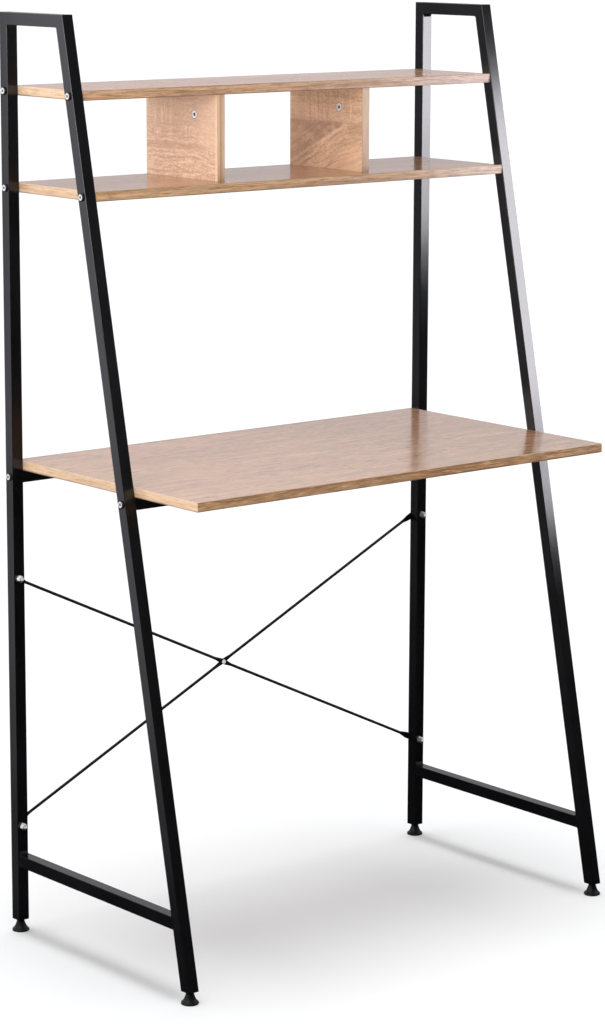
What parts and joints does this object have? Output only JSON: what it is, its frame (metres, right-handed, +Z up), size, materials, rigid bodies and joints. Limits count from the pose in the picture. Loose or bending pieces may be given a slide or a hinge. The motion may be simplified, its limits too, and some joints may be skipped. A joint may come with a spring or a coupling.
{
  "type": "ladder desk",
  "caption": "Free-standing desk with shelves between two black A-shaped tube frames, light oak boards, an X brace at the back and levelling feet",
  "frame": {"origin": "bottom centre of the desk: on the floor, midway between the two frames and midway between the front of the front feet and the end of the brace's centre bolt", "axes": "+X to the right along the desktop, +Y to the back, +Z up; the user sits at -Y"},
  "size_m": [0.898, 0.49, 1.5],
  "materials": {
    "powder_coat": "satin black powder coat",
    "brace_paint": "satin black paint",
    "oak_top": "light oak melamine, semi-gloss, long grain",
    "oak_edge": "oak edge band, a little darker than the faces",
    "oak_divider": "light oak melamine with saw marks",
    "zinc": "bright zinc plate",
    "cam_metal": "nickel-plated die casting",
    "beech": "plain beech",
    "stud_steel": "zinc-plated thread",
    "foot_plastic": "fine-grained black plastic"
  },
  "bodies": {
    "desk": {"left_back_post": "powder_coat", "left_front_leg": "powder_coat", "left_top_rung": "powder_coat", "left_lower_rung": "powder_coat", "left_frame_welds": "powder_coat", "right_back_post": "powder_coat", "right_front_leg": "powder_coat", "right_top_rung": "powder_coat", "right_lower_rung": "powder_coat", "right_frame_welds": "powder_coat", "rear_crossbar": "powder_coat", "front_crossbar": "powder_coat", "foot_nut_plates": "powder_coat", "falling_brace_rod": "brace_paint", "rising_brace_rod": "brace_paint", "desktop": "oak_top", "upper_shelf": "oak_top", "lower_shelf": "oak_top", "desktop_edge_bands": "oak_edge", "upper_shelf_edge_bands": "oak_edge", "lower_shelf_edge_bands": "oak_edge", "divider_edge_bands": "oak_edge", "left_divider": "oak_divider", "right_divider": "oak_divider", "frame_bolts": "zinc", "crossbar_nut_plugs": "zinc", "shelf_inserts": "zinc", "desktop_screws": "zinc", "divider_cam_bolts": "zinc", "divider_screws": "zinc", "brace_centre_bolt": "zinc", "brace_centre_nut": "zinc", "brace_end_bolts": "zinc", "brace_washers": "zinc", "brace_nuts": "zinc", "divider_cams": "cam_metal", "divider_dowels": "beech"},
    "foot_stud_left_back": {"foot_stud_left_back": "stud_steel"},
    "foot_base_left_back": {"foot_base_left_back": "foot_plastic"},
    "foot_stud_left_front": {"foot_stud_left_front": "stud_steel"},
    "foot_base_left_front": {"foot_base_left_front": "foot_plastic"},
    "foot_stud_right_back": {"foot_stud_right_back": "stud_steel"},
    "foot_base_right_back": {"foot_base_right_back": "foot_plastic"},
    "foot_stud_right_front": {"foot_stud_right_front": "stud_steel"},
    "foot_base_right_front": {"foot_base_right_front": "foot_plastic"}
  },
  "joints": [
    {"name": "foot_travel_left_back", "type": "slide", "parent": "desk", "child": "foot_stud_left_back", "axis": [0, 0, -1], "range_m": [0, 0.01]},
    {"name": "foot_turn_left_back", "type": "hinge", "parent": "foot_stud_left_back", "child": "foot_base_left_back", "pos_m": [-0.435, 0.22679, 0.01], "axis": [0, 0, -1], "range_deg": [0, 2880]},
    {"name": "foot_travel_left_front", "type": "slide", "parent": "desk", "child": "foot_stud_left_front", "axis": [0, 0, -1], "range_m": [0, 0.01]},
    {"name": "foot_turn_left_front", "type": "hinge", "parent": "foot_stud_left_front", "child": "foot_base_left_front", "pos_m": [-0.435, -0.231, 0.01], "axis": [0, 0, -1], "range_deg": [0, 2880]},
    {"name": "foot_travel_right_back", "type": "slide", "parent": "desk", "child": "foot_stud_right_back", "axis": [0, 0, -1], "range_m": [0, 0.01]},
    {"name": "foot_turn_right_back", "type": "hinge", "parent": "foot_stud_right_back", "child": "foot_base_right_back", "pos_m": [0.435, 0.22679, 0.01], "axis": [0, 0, -1], "range_deg": [0, 2880]},
    {"name": "foot_travel_right_front", "type": "slide", "parent": "desk", "child": "foot_stud_right_front", "axis": [0, 0, -1], "range_m": [0, 0.01]},
    {"name": "foot_turn_right_front", "type": "hinge", "parent": "foot_stud_right_front", "child": "foot_base_right_front", "pos_m": [0.435, -0.231, 0.01], "axis": [0, 0, -1], "range_deg": [0, 2880]}
  ],
  "couplings": [
    {"joint": "foot_turn_left_back", "follows": "foot_travel_left_back", "rad_per_m": 5026.5},
    {"joint": "foot_turn_left_front", "follows": "foot_travel_left_front", "rad_per_m": 5026.5},
    {"joint": "foot_turn_right_back", "follows": "foot_travel_right_back", "rad_per_m": 5026.5},
    {"joint": "foot_turn_right_front", "follows": "foot_travel_right_front", "rad_per_m": 5026.5}
  ]
}
